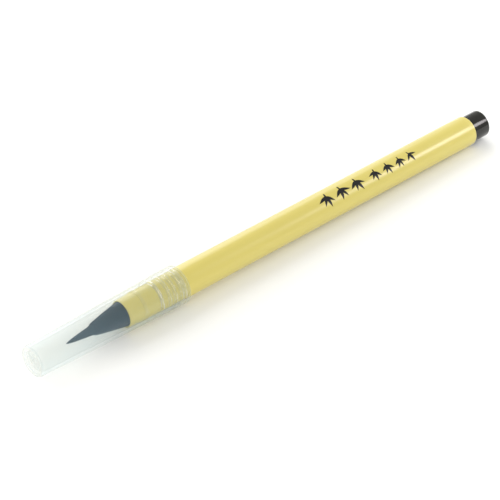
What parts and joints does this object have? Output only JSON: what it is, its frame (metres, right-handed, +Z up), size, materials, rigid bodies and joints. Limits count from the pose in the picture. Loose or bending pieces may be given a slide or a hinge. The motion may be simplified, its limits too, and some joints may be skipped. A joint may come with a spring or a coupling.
{
  "type": "calligraphy brush pen",
  "caption": "Slim capped calligraphy brush pen: round yellow barrel, pointed black bristle tuft inside a translucent ribbed cap, black tail plug.",
  "frame": {"origin": "on the surface the pen lies on, below the middle of its length and its axis", "axes": "+X along the pen from the closed end of the cap to the tail plug, +Z up"},
  "size_m": [0.18, 0.012, 0.012],
  "materials": {
    "cap_plastic": "translucent milky polypropylene",
    "yellow_plastic": "bamboo yellow, satin to semi-gloss",
    "black_plastic": "semi-gloss black",
    "bristle_nylon": "fine black tapered filaments, ink wetted",
    "fused_nylon": "melted filament ends",
    "feed_fibre": "porous bonded fibre, ink soaked",
    "natural_plastic": "natural polyethylene",
    "ink_wadding": "fibre wadding, ink soaked",
    "clear_film": "thin clear film",
    "print_ink": "thin printed black decoration on the barrel"
  },
  "bodies": {
    "barrel": {"barrel_tube": "yellow_plastic", "front_section": "yellow_plastic", "tail_plug": "black_plastic", "tuft_root": "fused_nylon", "feed_core": "feed_fibre", "core_holder": "natural_plastic", "ink_reservoir": "ink_wadding", "reservoir_film": "clear_film"},
    "cap": {"cap_shell": "cap_plastic"},
    "tuft": {"outer_bristles": "bristle_nylon", "inner_bristles": "bristle_nylon"}
  },
  "joints": [
    {"name": "cap_pull", "type": "slide", "parent": "barrel", "child": "cap", "axis": [-1, 0, 0], "range_m": [0, 0.06]},
    {"name": "tuft_flex", "type": "hinge", "parent": "barrel", "child": "tuft", "pos_m": [-0.058, 0, 0.00599], "axis": [0, 0, 1], "range_deg": [-8, 8], "stiffness_Nm_per_rad": 0.004}
  ]
}
